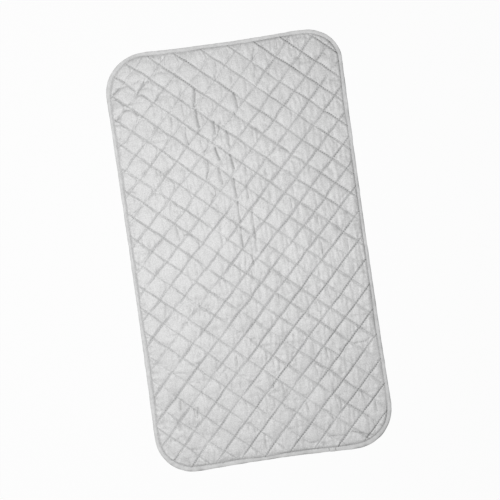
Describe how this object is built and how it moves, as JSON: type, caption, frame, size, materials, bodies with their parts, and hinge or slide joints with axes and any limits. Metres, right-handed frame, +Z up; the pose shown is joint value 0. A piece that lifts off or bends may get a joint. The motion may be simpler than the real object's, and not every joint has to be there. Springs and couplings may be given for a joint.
{
  "type": "ironing pad",
  "caption": "Soft quilted ironing mat with rounded corners and a bound edge, laid on a table or a steel top as a heat-proof ironing surface.",
  "frame": {"origin": "centre of the underside, on the table", "axes": "+Z up out of the ironing face, +Y along the length, +X across the width"},
  "size_m": [0.48, 0.85, 0.0061],
  "materials": {
    "silver_face_cloth": "metallised cotton, soft silver sheen",
    "polyester_wadding": "matt white fibre",
    "backing_cloth": "plain woven cotton, matt",
    "binding_tape": "woven bias tape, silver grey",
    "magnet": "nickel plated"
  },
  "bodies": {
    "root": {"top_cover": "silver_face_cloth", "wadding": "polyester_wadding", "backing_cloth": "backing_cloth", "edge_binding": "binding_tape", "magnet_front_left": "magnet", "magnet_front_right": "magnet", "magnet_back_left": "magnet", "magnet_back_right": "magnet"}
  },
  "joints": []
}
